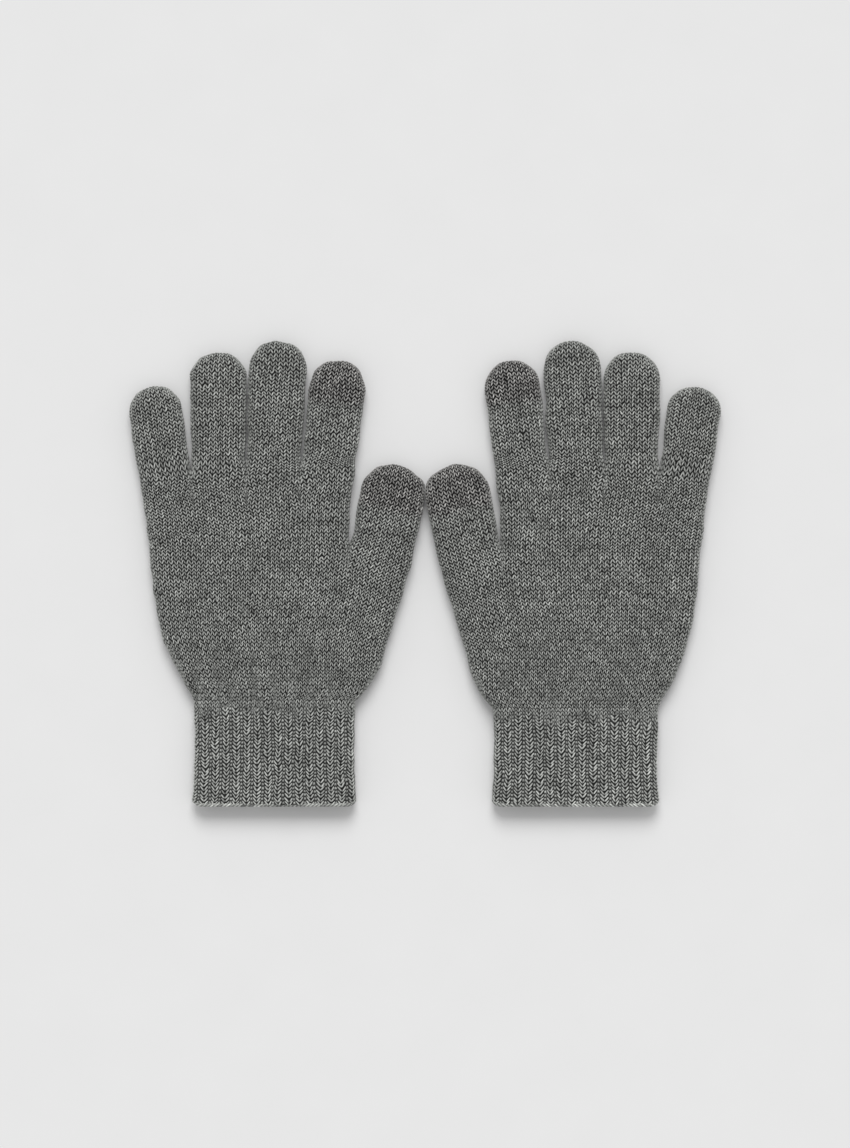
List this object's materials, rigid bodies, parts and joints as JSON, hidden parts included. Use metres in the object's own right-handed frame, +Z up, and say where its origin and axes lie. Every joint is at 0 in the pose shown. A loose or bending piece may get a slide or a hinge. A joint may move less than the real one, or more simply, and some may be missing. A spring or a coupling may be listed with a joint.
{
  "type": "touchscreen gloves",
  "caption": "Knitted full-finger gloves with ribbed cuffs and conductive yarn tips on thumb and index finger for touchscreens; thumb and fingers bend.",
  "frame": {"origin": "centre of the footprint of the pair on the surface that the gloves lie on", "axes": "+Y towards the fingertips, +X from the right-hand glove to the left-hand glove, +Z up out of the palms"},
  "size_m": [0.3048, 0.24, 0.011],
  "materials": {
    "plain_knit": "matt heather grey knit",
    "rib_knit": "matt heather grey rib",
    "conductive_knit": "matt darker heather grey knit",
    "overlock_yarn": "matt grey yarn",
    "elastic_yarn": "matt covered elastic"
  },
  "bodies": {
    "right_hand": {"right_rib_cuff": "rib_knit", "right_cuff_edge": "overlock_yarn", "right_cuff_elastic": "elastic_yarn", "right_lower_palm": "plain_knit", "right_upper_palm": "plain_knit"},
    "right_little_base": {"right_little_lower": "plain_knit"},
    "right_little_end": {"right_little_upper": "plain_knit"},
    "right_ring_base": {"right_ring_lower": "plain_knit"},
    "right_ring_end": {"right_ring_upper": "plain_knit"},
    "right_middle_base": {"right_middle_lower": "plain_knit"},
    "right_middle_end": {"right_middle_upper": "plain_knit"},
    "right_index_base": {"right_index_lower": "plain_knit"},
    "right_index_end": {"right_index_upper": "plain_knit", "right_index_touch_tip": "conductive_knit"},
    "right_thumb_base": {"right_thumb_lower": "plain_knit"},
    "right_thumb_end": {"right_thumb_upper": "plain_knit", "right_thumb_touch_tip": "conductive_knit"},
    "left_hand": {"left_rib_cuff": "rib_knit", "left_cuff_edge": "overlock_yarn", "left_cuff_elastic": "elastic_yarn", "left_lower_palm": "plain_knit", "left_upper_palm": "plain_knit"},
    "left_little_base": {"left_little_lower": "plain_knit"},
    "left_little_end": {"left_little_upper": "plain_knit"},
    "left_ring_base": {"left_ring_lower": "plain_knit"},
    "left_ring_end": {"left_ring_upper": "plain_knit"},
    "left_middle_base": {"left_middle_lower": "plain_knit"},
    "left_middle_end": {"left_middle_upper": "plain_knit"},
    "left_index_base": {"left_index_lower": "plain_knit"},
    "left_index_end": {"left_index_upper": "plain_knit", "left_index_touch_tip": "conductive_knit"},
    "left_thumb_base": {"left_thumb_lower": "plain_knit"},
    "left_thumb_end": {"left_thumb_upper": "plain_knit", "left_thumb_touch_tip": "conductive_knit"}
  },
  "joints": [
    {"name": "gloves_apart", "type": "slide", "parent": "right_hand", "child": "left_hand", "axis": [1, 0, 0], "range_m": [0, 0.1]},
    {"name": "right_little_base_bend", "type": "hinge", "parent": "right_hand", "child": "right_little_base", "pos_m": [-0.1342, 0.051, 0.011], "axis": [1, 0, 0], "range_deg": [0, 70]},
    {"name": "right_little_end_bend", "type": "hinge", "parent": "right_little_base", "child": "right_little_end", "pos_m": [-0.13723, 0.072, 0.011], "axis": [1, 0, 0], "range_deg": [0, 91]},
    {"name": "right_ring_base_bend", "type": "hinge", "parent": "right_hand", "child": "right_ring_base", "pos_m": [-0.1065, 0.051, 0.011], "axis": [1, 0, 0], "range_deg": [0, 70]},
    {"name": "right_ring_end_bend", "type": "hinge", "parent": "right_ring_base", "child": "right_ring_end", "pos_m": [-0.10659, 0.078, 0.011], "axis": [1, 0, 0], "range_deg": [0, 91]},
    {"name": "right_middle_base_bend", "type": "hinge", "parent": "right_hand", "child": "right_middle_base", "pos_m": [-0.0784, 0.051, 0.011], "axis": [1, 0, 0], "range_deg": [0, 70]},
    {"name": "right_middle_end_bend", "type": "hinge", "parent": "right_middle_base", "child": "right_middle_end", "pos_m": [-0.07708, 0.08, 0.011], "axis": [1, 0, 0], "range_deg": [0, 91]},
    {"name": "right_index_base_bend", "type": "hinge", "parent": "right_hand", "child": "right_index_base", "pos_m": [-0.0504, 0.051, 0.011], "axis": [1, 0, 0], "range_deg": [0, 70]},
    {"name": "right_index_end_bend", "type": "hinge", "parent": "right_index_base", "child": "right_index_end", "pos_m": [-0.04751, 0.076, 0.011], "axis": [1, 0, 0], "range_deg": [0, 91]},
    {"name": "right_thumb_base_bend", "type": "hinge", "parent": "right_hand", "child": "right_thumb_base", "pos_m": [-0.02343, 0.00777, 0.011], "axis": [0.9799, -0.1994, 0], "range_deg": [0, 50]},
    {"name": "right_thumb_end_bend", "type": "hinge", "parent": "right_thumb_base", "child": "right_thumb_end", "pos_m": [-0.02004, 0.02443, 0.011], "axis": [0.9799, -0.1994, 0], "range_deg": [0, 70]},
    {"name": "left_little_base_bend", "type": "hinge", "parent": "left_hand", "child": "left_little_base", "pos_m": [0.1342, 0.051, 0.011], "axis": [1, 0, 0], "range_deg": [0, 70]},
    {"name": "left_little_end_bend", "type": "hinge", "parent": "left_little_base", "child": "left_little_end", "pos_m": [0.13723, 0.072, 0.011], "axis": [1, 0, 0], "range_deg": [0, 91]},
    {"name": "left_ring_base_bend", "type": "hinge", "parent": "left_hand", "child": "left_ring_base", "pos_m": [0.1065, 0.051, 0.011], "axis": [1, 0, 0], "range_deg": [0, 70]},
    {"name": "left_ring_end_bend", "type": "hinge", "parent": "left_ring_base", "child": "left_ring_end", "pos_m": [0.10659, 0.078, 0.011], "axis": [1, 0, 0], "range_deg": [0, 91]},
    {"name": "left_middle_base_bend", "type": "hinge", "parent": "left_hand", "child": "left_middle_base", "pos_m": [0.0784, 0.051, 0.011], "axis": [1, 0, 0], "range_deg": [0, 70]},
    {"name": "left_middle_end_bend", "type": "hinge", "parent": "left_middle_base", "child": "left_middle_end", "pos_m": [0.07708, 0.08, 0.011], "axis": [1, 0, 0], "range_deg": [0, 91]},
    {"name": "left_index_base_bend", "type": "hinge", "parent": "left_hand", "child": "left_index_base", "pos_m": [0.0504, 0.051, 0.011], "axis": [1, 0, 0], "range_deg": [0, 70]},
    {"name": "left_index_end_bend", "type": "hinge", "parent": "left_index_base", "child": "left_index_end", "pos_m": [0.04751, 0.076, 0.011], "axis": [1, 0, 0], "range_deg": [0, 91]},
    {"name": "left_thumb_base_bend", "type": "hinge", "parent": "left_hand", "child": "left_thumb_base", "pos_m": [0.02343, 0.00777, 0.011], "axis": [0.9799, 0.1994, 0], "range_deg": [0, 50]},
    {"name": "left_thumb_end_bend", "type": "hinge", "parent": "left_thumb_base", "child": "left_thumb_end", "pos_m": [0.02004, 0.02443, 0.011], "axis": [0.9799, 0.1994, 0], "range_deg": [0, 70]}
  ],
  "couplings": [
    {"joint": "right_little_end_bend", "follows": "right_little_base_bend", "ratio": 1.3},
    {"joint": "right_ring_end_bend", "follows": "right_ring_base_bend", "ratio": 1.3},
    {"joint": "right_middle_end_bend", "follows": "right_middle_base_bend", "ratio": 1.3},
    {"joint": "right_index_end_bend", "follows": "right_index_base_bend", "ratio": 1.3},
    {"joint": "right_thumb_end_bend", "follows": "right_thumb_base_bend", "ratio": 1.4},
    {"joint": "left_little_end_bend", "follows": "left_little_base_bend", "ratio": 1.3},
    {"joint": "left_ring_end_bend", "follows": "left_ring_base_bend", "ratio": 1.3},
    {"joint": "left_middle_end_bend", "follows": "left_middle_base_bend", "ratio": 1.3},
    {"joint": "left_index_end_bend", "follows": "left_index_base_bend", "ratio": 1.3},
    {"joint": "left_thumb_end_bend", "follows": "left_thumb_base_bend", "ratio": 1.4}
  ]
}
